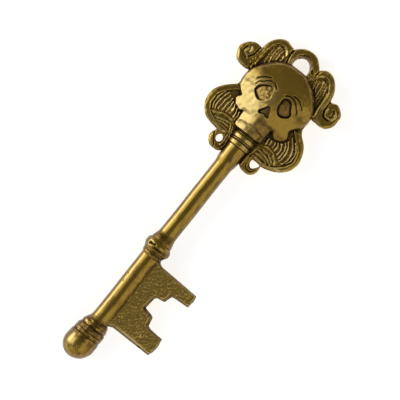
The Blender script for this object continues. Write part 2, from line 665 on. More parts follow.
# The hanging loop
LOOP = [
    (-6.6, 64.3), (-6.6, 65.8), (-6.6, 67.4), (-6.6, 69.3), (-6.6, 70.9), (-6.0, 71.9), (-4.6, 73.1),
    (-3.1, 74.2), (-1.5, 74.8), (0.0, 74.9), (1.5, 74.8), (3.1, 74.2), (4.2, 73.3), (5.4, 72.1),
    (6.5, 70.8), (6.5, 68.5), (6.3, 66.2), (5.8, 64.3),
]
LOOP_HOLE = [
    (3.4, 64.3), (3.4, 66.6), (3.4, 67.8), (3.1, 68.9), (2.3, 70.2), (1.2, 71.0), (0.0, 71.3),
    (-1.0, 71.1), (-2.0, 70.5), (-2.9, 69.5), (-3.3, 68.2), (-3.3, 66.6), (-3.3, 64.3),
]
LOOP_LIP = [
    (-4.2, 66.2), (-4.2, 68.5), (-3.8, 70.5), (-2.9, 71.8), (-1.7, 72.5), (0.0, 72.8), (1.2, 72.5),
    (2.3, 71.6), (3.3, 70.3), (3.8, 68.9), (3.9, 66.2),
]
LOOP_JOINT = [(-6.3, 71.9), (-6.1, 69.3), (-5.9, 66.9), (-5.6, 65.8)]
LOOP_PATCH = ((4.8, 67.6), (1.3, 2.4))

# The skull
SKULL_LEFT = [
    (-3.3, 66.3), (-5.8, 65.5), (-8.5, 63.7), (-10.8, 61.6), (-12.7, 59.3), (-14.2, 56.6),
    (-15.2, 54.3), (-15.5, 51.6), (-15.2, 49.3), (-14.4, 47.4), (-13.1, 46.0), (-11.8, 45.0),
    (-12.5, 44.1), (-12.7, 43.0), (-12.2, 41.8), (-11.2, 40.7), (-9.4, 40.0), (-7.9, 39.9),
    (-7.2, 40.3),
]
JAW = [
    (-7.0, 39.3), (-7.0, 37.0), (-6.9, 35.4), (-6.5, 34.5), (-4.6, 34.3), (0.0, 34.2), (3.9, 34.3),
    (5.6, 34.8), (6.1, 35.8), (6.2, 38.5), (6.2, 40.8),
]
SKULL_RIGHT = [
    (6.7, 40.9), (7.3, 40.0), (8.5, 39.5), (10.0, 39.4), (11.6, 40.0), (12.7, 41.1), (13.2, 42.5),
    (12.9, 43.9), (12.2, 45.1), (12.7, 46.4), (14.1, 48.0), (15.0, 49.7), (15.5, 51.6), (15.4, 53.9),
    (14.6, 56.6), (13.3, 59.1), (11.6, 61.2), (9.6, 63.0), (7.7, 64.3), (5.8, 65.3), (4.2, 66.0),
    (3.3, 66.3),
]
LEFT_EYE = [
    (-8.9, 50.3), (-8.6, 51.6), (-7.4, 53.0), (-5.8, 54.2), (-4.2, 54.6), (-2.9, 54.1), (-2.2, 52.8),
    (-1.9, 51.0), (-2.3, 49.5), (-3.3, 48.1), (-4.4, 47.4), (-5.8, 47.3), (-7.1, 48.0), (-8.3, 49.0),
]
RIGHT_EYE = [
    (2.1, 50.5), (2.1, 52.4), (2.5, 53.8), (3.7, 54.5), (5.0, 54.4), (6.2, 53.4), (7.2, 51.9),
    (8.4, 50.2), (8.3, 48.9), (7.2, 47.8), (5.6, 47.1), (4.0, 47.3), (2.9, 48.4),
]
NOSE = [
    (-0.4, 48.0), (-1.2, 47.1), (-1.9, 45.8), (-2.5, 44.3), (-2.1, 43.6), (-1.2, 43.6), (0.0, 44.0),
    (0.8, 43.6), (1.9, 43.6), (2.1, 44.7), (1.7, 46.2), (0.5, 47.8),
]
BROWS = [
    [(-10.6, 53.7), (-9.2, 55.3), (-7.7, 56.4), (-6.5, 57.0)],
    [(-9.8, 51.6), (-9.1, 53.0), (-7.9, 54.2), (-7.1, 55.1), (-6.0, 55.9), (-4.2, 56.2), (-3.1, 55.7),
     (-2.2, 54.8)],
    [(4.8, 56.7), (6.2, 56.8), (7.7, 56.4), (9.2, 55.5), (10.5, 54.3)],
    [(2.3, 54.9), (3.5, 55.6), (5.0, 55.7), (6.5, 55.3), (7.8, 54.2), (9.1, 52.8), (9.8, 51.5)],
]
MOUTH = [
    [(-6.5, 36.6), (-5.4, 37.2), (-4.2, 37.5), (-2.5, 37.8), (-1.7, 38.1), (-1.2, 37.9), (-0.6, 38.0),
     (0.2, 38.1), (0.8, 37.9), (1.4, 38.0), (2.1, 37.6), (3.1, 37.5), (4.2, 37.4), (5.4, 37.0),
     (6.0, 36.5)],
]

# Lines that handling has rubbed bright
RUBBED_LINES = [
    [(8.2, 69.2), (9.6, 70.3), (11.1, 70.4), (13.0, 69.0), (14.2, 66.9), (14.8, 64.4), (14.8, 62.0),
     (14.8, 59.6), (15.5, 57.3), (17.0, 55.8), (18.6, 55.2)],
    [(6.6, 69.6), (6.7, 68.3)],
    [(-10.6, 70.0), (-9.4, 69.8), (-8.3, 68.9), (-7.2, 67.4)],
    [(-15.2, 66.4), (-15.5, 65.0), (-15.5, 63.4)],
    [(-22.9, 57.9), (-21.9, 56.6), (-20.4, 55.4), (-18.6, 54.9)],
    [(-6.0, 71.0), (-5.7, 69.0), (-5.2, 66.4)],
    [(-11.3, 26.4), (-11.2, 25.2), (-10.6, 24.0), (-9.8, 23.2)],
    [(-6.0, 27.6), (-6.0, 26.0), (-6.4, 24.9)],
]
RUBBED_LINES += CRESCENTS["right"] + CRESCENTS["left"]


# The wings
def rim_face(edge, crest):
    """A rim that rounds off at its edge and drops from a crest to the feathers."""
    band = edge + crest[::-1]

    def face(x, y):
        outer = curve_distance(x, y, edge)
        inner = curve_distance(x, y, crest)
        beyond = np.where(inside_depth(x, y, band) < 0, inner, 0)
        height = rim_top - 0.10 - 1.0 * drop(outer, 1.25) - 0.25 * swell(inner - 1.1, 0.7)
        height += 0.16 * swell(inner, 0.45) + 0.05 * texture(x, y, 3.0, 5)
        height -= 0.45 * smoothstep(np.abs(x), 8.6, 7.0)
        height = np.maximum(height, rim_top - 0.75 + 0.70 * stem_rise(x, y))
        return height - 0.40 * stem_side(x, y) - 1.5 * beyond * (outer > inner)

    return face


def feather_face(feathers):
    """Hollow ground with a row of narrow ridges."""
    def face(x, y):
        rise = 0.54 + 0.04 * texture(x, y, 2.4, 6)
        return floor_z + 0.42 + rise * crests(x, y, feathers, 0.66) + 0.02 * texture(x, y, 1.2, 7)

    return face


def leaf_face(leaves, tier, rough):
    """A lower tier of overlapping leaves, behind a raised edge."""
    def face(x, y):
        edge = curve_distance(x, y, tier)
        height = floor_z + 0.60 + 0.42 * crests(x, y, leaves, 0.72) - 0.35 * drop(edge, 0.4)
        return height + 0.07 * texture(x, y, 1.3, 8) + 0.16 * grains(x, y, 9) * oval(x, y, *rough)

    return face


# The crown
def patch_share(x, y, patch):
    """From 1 over most of an oval patch to 0 at its edge."""
    return np.minimum(3 * oval(x, y, *patch), 1)


def scroll_face(side):
    """An arch with a sloped inner side, whose end winds in to a head behind a narrow gap."""
    def face(x, y):
        outer = curve_distance(x, y, ARCH_EDGE[side])
        inner = curve_distance(x, y, ARCH_FOOT[side])
        height = rim_top - 0.10 - 0.85 * drop(outer, 1.1) - 0.62 * (1 - np.clip(inner / 0.8, 0, 1))
        height += 0.18 * swell(inner - 0.95, 0.4) - 0.16 * swell(inner - 1.7, 0.5)
        height -= 0.70 * cut(x, y, VOLUTE_GAP[side], 0.27) + 0.45 * cut(x, y, VOLUTE_EYE[side], 0.36)
        height += 0.30 * crests(x, y, CRESCENTS[side], 0.62)
        for line in SCROLL_LINES[side]:
            height -= 0.20 * cut(x, y, line, 0.17)
        if SCROLL_PATCH[side]:
            patch = patch_share(x, y, SCROLL_PATCH[side])
            height += patch * (0.12 * texture(x, y, 0.8, 12) - 0.10)
        return height + 0.04 * texture(x, y, 2.0, 10)

    return face


def crown_rib_face(ribs, faint):
    """Hollow ground with ribs, and fainter ribs between them."""
    def face(x, y):
        rise = 0.50 + 0.08 * texture(x, y, 1.5, 13)
        ridge = np.maximum(crests(x, y, ribs, 0.62), 0.42 * crests(x, y, faint, 0.55))
        return floor_z + 0.38 + rise * ridge + 0.05 * texture(x, y, 0.9, 14)

    return face


def loop_face(x, y):
    """A flat loop with a lip, from which the wall slopes into the hole."""
    outer = curve_distance(x, y, LOOP)
    lip = curve_distance(x, y, LOOP_LIP)
    hole = curve_distance(x, y, LOOP_HOLE)
    height = loop_top - 0.06 - 0.8 * drop(outer, 1.0) + 0.14 * swell(lip, 0.4)
    within = inside_depth(x, y, LOOP_LIP) > 0
    wall = loop_top - 2.6 * (1 - np.clip(hole / (hole + lip), 0, 1)) ** 1.6
    height = np.where(within, np.minimum(height, wall), height)
    height -= 0.8 * cut(x, y, LOOP_JOINT, 0.30)
    patch = patch_share(x, y, LOOP_PATCH)
    return height + patch * (0.30 * grains(x, y, 15) - 0.30) + 0.04 * texture(x, y, 2.0, 16)


# The curls under the wings, and the stems that rise from them beside the neck
BEAD_LENGTH = 0.75


def stem_rise(x, y):
    """The share of the stems' height at each place."""
    rise = 0 * x
    beads = np.sin(y * 2 * math.pi / BEAD_LENGTH)
    for stem, width, bead_depth in STEMS:
        gap = curve_distance(x, y, stem, 4)
        rise = np.maximum(rise, swell(gap, width) * (1 + bead_depth * beads))
    return rise


def stem_side(x, y):
    """The share of the dark furrows beside the stems."""
    nearest = np.full(x.shape, np.inf)
    for stem, width, _ in STEMS:
        nearest = np.minimum(nearest, np.abs(curve_distance(x, y, stem, 4) - width - 0.05))
    return bell(nearest, 0.0, 0.2) * smoothstep(y, 34.0, 32.5)


def curl_face(outline, line, crescent):
    """A curl with a groove along it, raised outside its crescent where it has one."""
    def face(x, y):
        depth = inside_depth(x, y, outline)
        height = curl_top - 0.30 - 0.9 * drop(depth, 0.8) - 0.45 * cut(x, y, line, 0.24)
        if crescent:
            outside = inside_depth(x, y, crescent) > 0
            height += np.where(outside, 0.25 - 0.5 * (1 - np.clip(depth / 1.5, 0, 1)), -0.15)
        height = np.maximum(height, curl_top - 0.9 + 0.75 * stem_rise(x, y) * (np.abs(x) < 6.8))
        return height - 0.35 * stem_side(x, y)

    return face


# The plate
def plate_face(x, y):
    stems = 0.85 * stem_rise(x, y) * smoothstep(y, 34.6, 33.4)
    return floor_z + stems + 0.03 * texture(x, y, 1.5, 17)


def plate_back(outline):
    """The underside, a little hollow, with rounded edges."""
    def back(x, y):
        depth = inside_depth(x, y, outline)
        hollow = 0.55 * drop(depth, 0.8) + 0.12 * smoothstep(depth, 1.2, 4.0)
        return plate_low[2] + hollow + 0.03 * (1 + texture(x, y, 6.0, 18))

    return back


# The skull's face: the keel's place along the key and its height over the shank's axis there
SKULL_KEEL = [(33.0, 6.0), (37.4, 6.45), (41.2, 7.1), (44.5, 7.65), (47.0, 8.1), (50.0, 9.2),
              (53.0, 10.9), (57.0, 13.9), (62.0, 18.0), (68.0, 23.0)]
SKULL_MIDDLE = (0.1, 50.7)
SKULL_REACH = (16.4, 16.6)
SKULL_SQUARENESS = 3.4
FOREHEAD_HEIGHT = 8.15
LEFT_EYE_BUMPS = ((-3.0, 50.6), (-2.9, 49.2), (-4.2, 51.9), (-5.2, 50.0))
TEETH = (-1.4, 0.4, 1.6)
LIPS = (((-3.8, 35.8), (2.4, 2.0), 0.34), ((2.4, 35.8), (1.9, 1.9), 0.14),
        ((5.3, 35.7), (0.7, 1.3), 0.24))


def skull_form(x, y):
    """The large form: a flat forehead, cheeks that slope from a keel, and a round jaw."""
    reach = np.hypot((x - SKULL_MIDDLE[0]) / SKULL_REACH[0], (y - SKULL_MIDDLE[1]) / SKULL_REACH[1])
    fall = np.maximum(1 - reach**SKULL_SQUARENESS, 0.0) ** (1 / SKULL_SQUARENESS)
    keel = np.interp(y, *np.array(curve(SKULL_KEEL, 5)).T)
    side = np.sqrt((x - SKULL_MIDDLE[0]) ** 2 + 1.2**2) - 1.2
    cheeks = keel - 0.40 * side - 0.004 * side**2
    height = soft_min(FOREHEAD_HEIGHT * fall, cheeks, 2.2)
    height = height - 0.12 * smoothstep(y, 41.8, 39.6) * smoothstep(np.abs(x), 5.0, 7.5)
    jaw = keel - 3.5 * (np.sqrt((x + 0.3) ** 2 + 0.5) / 6.6) ** 1.35
    height = height + (jaw - height) * smoothstep(y, 42.4, 40.2) * smoothstep(np.abs(x), 8.2, 6.6)
    height -= 0.25 * oval(x, y, (-8.0, 56.6), (6.5, 5.0))
    return height + (0.03 * texture(x, y, 6.0, 3) + 0.010 * texture(x, y, 1.4, 4))


def sockets(x, y):
    """The depth of the sockets: a ditch inside a thin rim, the left floor worn toward the nose."""
    depth = 0 * x
    for eye, worn in ((LEFT_EYE, True), (RIGHT_EYE, False)):
        within = inside_depth(x, y, curve(eye, closed=True))
        floor = 1.20 - 0.05 * texture(x, y, 1.9, 11)
        ditch = bell(within, 0.40, 0.26)
        if worn:
            floor = floor - 0.15 * np.clip(x + 8.9, 0, 7) - 0.07 * texture(x, y, 1.0, 19)
            for bump in LEFT_EYE_BUMPS:
                floor = floor - 0.26 * oval(x, y, bump, (0.7, 0.7))
            ditch = ditch * smoothstep(x, -3.2, -5.4)
        depth += floor * smoothstep(within, -0.05, 0.32) + 0.45 * ditch
        depth -= 0.12 * bell(within, -0.28, 0.24)
    return depth


def brows(x, y):
    """The depth of the incised brows, with the ridges that the graver threw up."""
    depth = 0 * x
    for line in BROWS:
        gap = curve_distance(x, y, line, 4)
        depth += 0.46 * bell(gap, 0.0, 0.23) - 0.16 * bell(gap, 0.50, 0.24)
    return depth


def nose(x, y):
    within = inside_depth(x, y, curve(NOSE, closed=True))
    depth = (1.15 - 0.14 * (x + 2.4)) * smoothstep(within, -0.05, 0.30)
    walls = np.maximum(smoothstep(x, 0.2, -0.8), smoothstep(y, 44.9, 44.2))
    return depth + 0.30 * bell(within, 0.35, 0.22) * walls - 0.10 * bell(within, -0.28, 0.25)


def mouth(x, y):
    """The depth of the line between the lips and of the gaps between the teeth."""
    depth = 0.28 * cut(x, y, [(4.4, 37.2), (4.4, 35.0)], 0.17)
    for line in MOUTH:
        depth += 0.34 * cut(x, y, line, 0.17)
    for tooth in TEETH:
        depth += 0.12 * cut(x, y, [(tooth, 38.1), (tooth + 0.05, 37.3)], 0.14)
    lips = sum(rise * oval(x, y, middle, half) for middle, half, rise in LIPS)
    return depth - lips * smoothstep(y, 37.8, 37.2)


def skull_face(outline):
    """The carved face, rolled down to the plate round its edge and bevelled over the crown."""
    def face(x, y):
        height = skull_form(x, y) - sockets(x, y) - brows(x, y) - nose(x, y) - mouth(x, y)
        depth = inside_depth(x, y, outline)
        height -= 0.10 * bell(depth, 1.5, 0.35) * bell(x, 10.2, 2.6) * bell(y, 41.0, 1.2)
        roll = np.where((np.abs(x) < 7.3) & (y < 41.0), 0.38, np.where(y < 43.0, 0.5, 0.8))
        edge = np.sqrt(np.maximum(1 - (1 - np.clip(depth / roll, 0, 1)) ** 2, 0))
        height -= smoothstep(y, 55.0, 59.0) * (1 - np.clip(depth / 1.5, 0, 1))
        return axis_z + edge + (np.maximum(height, 1.1) - 1.0) * edge

    return face


# Settling finished shapes into the frame, and the sizes of their small faces
pieces = {}
BIT_VOXEL = 0.17
PLATE_VOXEL = 0.21
RIM_VOXEL = 0.12
GROUND_VOXEL = 0.11


def settle(shape, node):
    """Give a shape its casting's irregularities and its place in the frame."""
    points = as_cast(read_points(shape))
    low = np.array(cad_low) / MM
    high = np.array(cad_high) / MM
    write_points(shape, np.clip(points, low, high) * MM)
    shape.name = node + "_cast"
    shape.data.name = shape.name
    for polygon in shape.data.polygons:
        polygon.use_smooth = True
    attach(shape, "root")
    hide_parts(node)
    pieces[node] = shape


def add_carved(node, slot, *shape, **settings):
    settle(carved(node, *shape, **settings), node)


for node, shape in turned_pieces().items():
    settle(shape, node)
add_carved("bit", "cast_brass", BIT_EDGE, bit_low[2], bit_face, BIT_VOXEL, back=bit_back)

skull_outline = curve(SKULL_LEFT) + curve(JAW) + curve(SKULL_RIGHT)
skull = carved("skull", skull_outline, floor_z - 0.6, skull_face(skull_outline), 0.14, passes=0)
remesh(skull, 0.165, 1, factor=0.25)
settle(skull, "skull")

plate_outline = curve(WING_EDGE["right"], 2) + [(15.4, 49.0), (15.4, 51.0)] \
    + curve(ARCH_EDGE["right"][::-1], 2) + curve(ARCH_EDGE["left"], 2) \
    + [(-15.3, 51.0), (-15.2, 49.0)] + curve(WING_EDGE["left"][::-1], 2)
add_carved("bow_plate", "cast_brass", plate_outline, plate_low[2], plate_face, PLATE_VOXEL,
           passes=2, back=plate_back(plate_outline))
add_carved("hanging_loop", "cast_brass", LOOP + LOOP_HOLE, plate_low[2] + 0.1, loop_face, RIM_VOXEL)

# Rims start near the plate's underside, and the grounds between them a little under its face
rim_foot = plate_low[2] + 0.35
ground_foot = floor_z - 0.4
for side, hand in (("right", 1), ("left", -1)):
    edge, crest, tier = WING_EDGE[side], WING_CREST[side], TIER_EDGE[side]
    arch_foot = ARCH_FOOT[side]
    field = shifted(crest, -0.3 * hand)
    below = [place for place in field if place[1] < tier[-1][1] + 0.2]
    crescent = LEFT_CRESCENT if side == "left" else None
    for part, outline, foot, face, voxel in (
        ("wing_rim", curve(edge) + shifted(crest, 0.5 * hand)[::-1], rim_foot,
         rim_face(edge, crest), RIM_VOXEL),
        ("wing_feathers", field + [(5.5 * hand, 41.0), (5.5 * hand, 31.0)], ground_foot,
         feather_face(FEATHERS[side]), GROUND_VOXEL),
        ("lower_feathers", curve(tier) + below[::-1], ground_foot,
         leaf_face(LEAVES[side], tier, ROUGH_LEAVES[side]), GROUND_VOXEL),
        ("crown_scroll", curve(ARCH_EDGE[side]) + arch_foot[::-1], rim_foot,
         scroll_face(side), RIM_VOXEL),
        ("crown_ribs", shifted(arch_foot, 0.3 * hand) + [(12.0 * hand, 57.0), (6.0 * hand, 63.5)],
         ground_foot, crown_rib_face(CROWN_RIBS[side], FAINT_RIBS[side]), GROUND_VOXEL),
    ):
        add_carved(f"{side}_{part}", "antique_brass", outline, foot, face, voxel)
    add_carved(f"{side}_curl", "cast_brass", CURL[side], curl_foot,
               curl_face(CURL[side], CURL_LINE[side], crescent), RIM_VOXEL)


# How deep each place lies among its neighbours, for the finishes
def neighbour_means(points, edges, rounds):
    """Points drawn toward the mean of their neighbours, round by round."""
    first, second = edges[:, 0], edges[:, 1]
    count = len(points)
    degree = np.bincount(first, minlength=count) + np.bincount(second, minlength=count)
    degree = np.maximum(degree, 1)
    for _ in range(rounds):
        mean = np.empty_like(points)
        for side in range(3):
            total = np.bincount(first, points[second, side], count)
            total += np.bincount(second, points[first, side], count)
            mean[:, side] = total / degree
        points = (points + mean) / 2
    return points


def piece_edges(piece):
    edges = np.empty(len(piece.data.edges) * 2, np.int64)
    piece.data.edges.foreach_get("vertices", edges)
    return edges.reshape(-1, 2)


def lies_under(smoothed, points, normals):
    """How far each point lies under the smoothed shape, along its own normal."""
    return np.einsum("ij,ij->i", smoothed - points, normals)


# Ridges that handling has rubbed: their lines, and half the width that shows
RIDGES = {
    "wing_feathers": (FEATHERS, 0.60), "lower_feathers": (LEAVES, 0.60),
    "crown_ribs": (CROWN_RIBS, 0.55),
}
# Stains on the skull: the middle, half the sizes and the share of brown
STAINS = [
    ((0.4, 41.6), (3.2, 1.5), 0.45), ((4.2, 55.2), (2.2, 3.0), 0.30),
    ((12.0, 50.5), (2.2, 2.6), 0.35), ((11.0, 58.0), (2.6, 2.2), 0.25),
    ((-0.6, 51.5), (1.5, 4.0), 0.30), ((6.0, 44.6), (2.4, 1.2), 0.25),
    ((-9.0, 58.0), (3.0, 1.6), 0.20), ((9.5, 46.5), (1.2, 1.0), 0.25),
]
# Holes of the skull and the share of brown in each
HOLES = ((NOSE, 0.9), (RIGHT_EYE, 0.75), (LEFT_EYE, 0.45))
# Ways that a turned surface faces where it is bright and where it is brown
BRIGHT_WAY = np.array([-0.68, 0.0, 0.733])
BROWN_WAY = np.array([-0.42, 0.0, 0.907])


def turned_patina(node, points, normals, tarnish, rubbed):
    """A bright line along the left side, brown marks, and streaks on the right."""
    x, y, z = points.T
    rubbed = rubbed + 0.8 * smoothstep(normals @ BRIGHT_WAY, 0.965, 1.0)
    if node == "lower_shank":
        tarnish = tarnish + 0.4 * smoothstep(normals @ BROWN_WAY, 0.97, 1.0)
    for line, depth, width in MARKS:
        gap = line_distance(x, y, line)
        tarnish = tarnish + min(1.0, 2.5 * depth) * bell(gap, 0.0, width) * (z > axis_z)
    streaks = waves(points * np.array([1.0, 0.22, 1.0]), 1.3, 72)
    return tarnish + np.clip(0.14 + 0.22 * streaks, 0, 1) * smoothstep(x, -1.8, 0.8), rubbed


def ridge_patina(part, share, tarnish):
    """Bright ridges, less so on the lower tier, with brown ground between them."""
    strength = 0.55 if part == "lower_feathers" else 1.0
    tarnish = np.maximum(tarnish * (1 - share), 0.65 * strength * smoothstep(share, 0.4, 0.1))
    tarnish = tarnish - strength * (0.7 * smoothstep(share, 0.3, 0.7) + 0.4)
    return tarnish, strength * smoothstep(share, 0.20, 0.70)


def skull_patina(x, y, tarnish):
    """A brow and jaw rubbed on the left, stains, and brown in the holes."""
    rubbed = smoothstep(x, 3.0, -6.0) * smoothstep(y, 58.0, 49.5)
    rubbed = np.maximum(rubbed, 0.9 * smoothstep(y, 43.0, 40.0) * smoothstep(x, 0.5, -3.6))
    rubbed = np.maximum(rubbed, 0.5 * bell(inside_depth(x, y, skull_outline), 0.9, 0.6)
                        * smoothstep(y, 52.0, 56.0) * smoothstep(x, 4.0, -6.0))
    tarnish = tarnish + 0.55 * smoothstep(y, 43.5, 41.0) * smoothstep(x, -3.6, 1.0)
    for middle, half, share in STAINS:
        tarnish = tarnish + share * oval(x, y, middle, half)
    for hole, share in HOLES:
        inside = smoothstep(inside_depth(x, y, curve(hole, closed=True)), 0.0, 0.3)
        tarnish = np.maximum(tarnish, share * inside)
        rubbed = rubbed * (1 - 0.7 * inside)
    return tarnish, rubbed


def patina(node, points, normals):
    """Where handling has left the tarnish, and where it has rubbed the brass bright."""
    x, y, _ = points.T
    side, _, part = node.partition("_")
    steep = 1 - np.abs(normals[:, 2])
    low, high = (0.40, 0.80) if part.endswith(("feathers", "ribs")) else (0.14, 0.58)
    tarnish = smoothstep(steep, low, high)
    ends = smoothstep(y, -67.9, -66.0) * smoothstep(y, -56.6, -58.2)
    tarnish = tarnish + ends * (0.60 + 0.55 * waves(points, 2.6, 71))
    tarnish = tarnish + 0.7 * bell(y, -16.4, 1.5) + 0.6 * bell(y, -23.8, 0.9)
    tarnish = tarnish + 0.7 * bell(y, -23.3, 1.3) * smoothstep(x, -1.5, 1.0)
    rubbed = 0.5 * bell(x, -4.6, 2.6) * bell(y, -69.3, 2.0) + 0.55 * bell(y, NECK_GROOVE_Y, 2.2)
    if node == "bit":
        tarnish = tarnish + 1.1 * smoothstep(bit_wall(x, y), 1.0, 0.85)
        rubbed = 0.2 + 0.7 * bell(y, -54.75, 0.4) * bell(x, 14.0, 5.5)
    elif node == "skull":
        tarnish, rubbed = skull_patina(x, y, tarnish)
    elif node in TURNED_PIECES:
        tarnish, rubbed = turned_patina(node, points, normals, tarnish, rubbed)
    elif part in RIDGES:
        lines, width = RIDGES[part]
        tarnish, rubbed = ridge_patina(part, crests(x, y, lines[side], width), tarnish)
    elif part in ("crown_scroll", "loop", "curl"):
        for line in RUBBED_LINES:
            rubbed = np.maximum(rubbed, 0.9 * bell(curve_distance(x, y, line), 0.0, 0.36))
    return tarnish, rubbed * smoothstep(steep, 0.45, 0.2) * (1 - np.clip(tarnish, 0, 1) ** 2)


SURFACE_MARKS = ("tight_recess", "fine_recess", "broad_recess", "tarnish", "rubbed")
WHOLE_VOXEL = 0.26
TIGHT_ROUNDS = 7
NEAR_ROUNDS = 8
FAR_ROUNDS = 90


def mark_surfaces():
    """Write to each piece how deep each place lies among its neighbours, and its patina."""
    deselect()
    for piece in pieces.values():
        piece.select_set(True)
    bpy.context.view_layer.objects.active = pieces["skull"]
    bpy.ops.object.duplicate()
    bpy.ops.object.join()
    whole = bpy.context.object
    whole.parent = None
    write_points(whole, read_points(whole) / MM)
    remesh(whole, WHOLE_VOXEL, 0)
    points, normals, edges = read_points(whole), read_points(whole, "normal"), piece_edges(whole)
    near = neighbour_means(points, edges, NEAR_ROUNDS)
    far = neighbour_means(near, edges, FAR_ROUNDS)
    fine = lies_under(near, points, normals)
    broad = lies_under(far, points, normals)
    tree = kdtree.KDTree(len(points))
    for index, place in enumerate(points):
        tree.insert(place, index)
    tree.balance()
    for node, piece in pieces.items():
        places, facing = read_points(piece) / MM, read_points(piece, "normal")
        nearest = [tree.find(place)[1] for place in places]
        smoothed = neighbour_means(places, piece_edges(piece), TIGHT_ROUNDS)
        tight = lies_under(smoothed, places, facing)
        tarnish, rubbed = patina(node, places, facing)
        marks = (tight, fine[nearest], broad[nearest], tarnish, rubbed)
        for name, values in zip(SURFACE_MARKS, marks):
            attribute = piece.data.attributes.new(name, "FLOAT", "POINT")
            attribute.data.foreach_set("value", np.asarray(values, np.float32))
    bpy.data.objects.remove(whole)


mark_surfaces()


# Finishes
class Wire:
    """An output of a material's nodes, on which + - * / add the nodes that work them out."""

    def __init__(self, finish, socket):
        self.finish = finish
        self.socket = socket

    def is_vector(self):
        return self.socket.type in ("VECTOR", "RGBA")

    def maths(self, operation, first, second):
        for value in (first, second):
            if isinstance(value, Wire) and value.is_vector():
                return self.finish.node("ShaderNodeVectorMath", {"operation": operation},
                                        {0: first, 1: second})
        return self.finish.node("ShaderNodeMath", {"operation": operation},
                                {0: first, 1: second})

    def __add__(self, other):
        return self.maths("ADD", self, other)

    def __radd__(self, other):
        return self.maths("ADD", other, self)

    def __sub__(self, other):
        return self.maths("SUBTRACT", self, other)

    def __rsub__(self, other):
        return self.maths("SUBTRACT", other, self)

    def __mul__(self, other):
        return self.maths("MULTIPLY", self, other)

    def __rmul__(self, other):
        return self.maths("MULTIPLY", other, self)

    def larger(self, other):
        return self.maths("MAXIMUM", self, other)

    def smaller(self, other):
        return self.maths("MINIMUM", self, other)

    def between(self, low, high, first=0.0, last=1.0):
        """Smoothly from first to last as the value goes from low to high."""
        return self.finish.node(
            "ShaderNodeMapRange", {"interpolation_type": "SMOOTHSTEP", "clamp": True},
            {"Value": self, "From Min": low, "From Max": high, "To Min": first, "To Max": last})


class Finish:
    """A material and the means to draw its nodes."""

    def __init__(self, name):
        self.material = bpy.data.materials.new(name)
        self.material.use_nodes = True
        self.tree = self.material.node_tree
        self.tree.nodes.clear()

    def node(self, kind, settings=None, inputs=None, output=0):
        node = self.tree.nodes.new(kind)
        for name, value in (settings or {}).items():
            setattr(node, name, value)
        for name, value in (inputs or {}).items():
            socket = node.inputs[name]
            if isinstance(value, Wire):
                self.tree.links.new(value.socket, socket)
            else:
                if socket.type == "VECTOR" and isinstance(value, (int, float)):
                    value = (value, value, value)
                socket.default_value = value
        return Wire(self, node.outputs[output])

    def place(self):
        """Where a point lies, in millimetres."""
        return self.node("ShaderNodeTexCoord", output="Object") * (1 / MM)

    def stretched(self, along):
        """Millimetres with the shank's direction drawn out."""
        return self.place() * (1.0, 1.0 / along, 1.0)

    def noise(self, where, size, detail=3.0, roughness=0.5, distortion=0.0):
        return self.node(
            "ShaderNodeTexNoise", {"noise_dimensions": "3D"},
            {"Vector": where, "Scale": 1 / size, "Detail": detail, "Roughness": roughness,
             "Distortion": distortion})

    def cells(self, where, size):
        return self.node("ShaderNodeTexVoronoi", {"feature": "F1"},
                         {"Vector": where, "Scale": 1 / size})

    def attribute(self, name):
        return self.node("ShaderNodeAttribute", {"attribute_name": name}, output="Fac")

    def blend(self, factor, first, second):
        """From one colour to another."""
        return self.node(
            "ShaderNodeMix", {"data_type": "RGBA"},
            {"Factor": factor, 6: first, 7: second}, output=2)

    def bump(self, height):
        """A normal for a relief whose height is in millimetres."""
        return self.node("ShaderNodeBump", {}, {"Height": height, "Strength": 1.0, "Distance": MM})

    def close(self, color, metallic, roughness, normal, **constants):
        """Lead everything to the shader, with what never varies on its own sockets."""
        inputs = {"Base Color": color, "Metallic": metallic, "Roughness": roughness,
                  "Normal": normal}
        inputs.update({name.replace("_", " "): value for name, value in constants.items()})
        return self.shade(self.node("ShaderNodeBsdfPrincipled", {}, inputs))

    def shade(self, shader):
        output = self.tree.nodes.new("ShaderNodeOutputMaterial")
        self.tree.links.new(shader.socket, output.inputs["Surface"])
        return self.material


def colour(red, green, blue):
    return (red, green, blue, 1.0)


POLISHED = colour(0.80, 0.60, 0.21)
BRIGHT = colour(0.64, 0.42, 0.07)
BRASS = colour(0.44, 0.272, 0.034)
BROWNED = colour(0.19, 0.105, 0.017)
DIRT = colour(0.022, 0.014, 0.006)


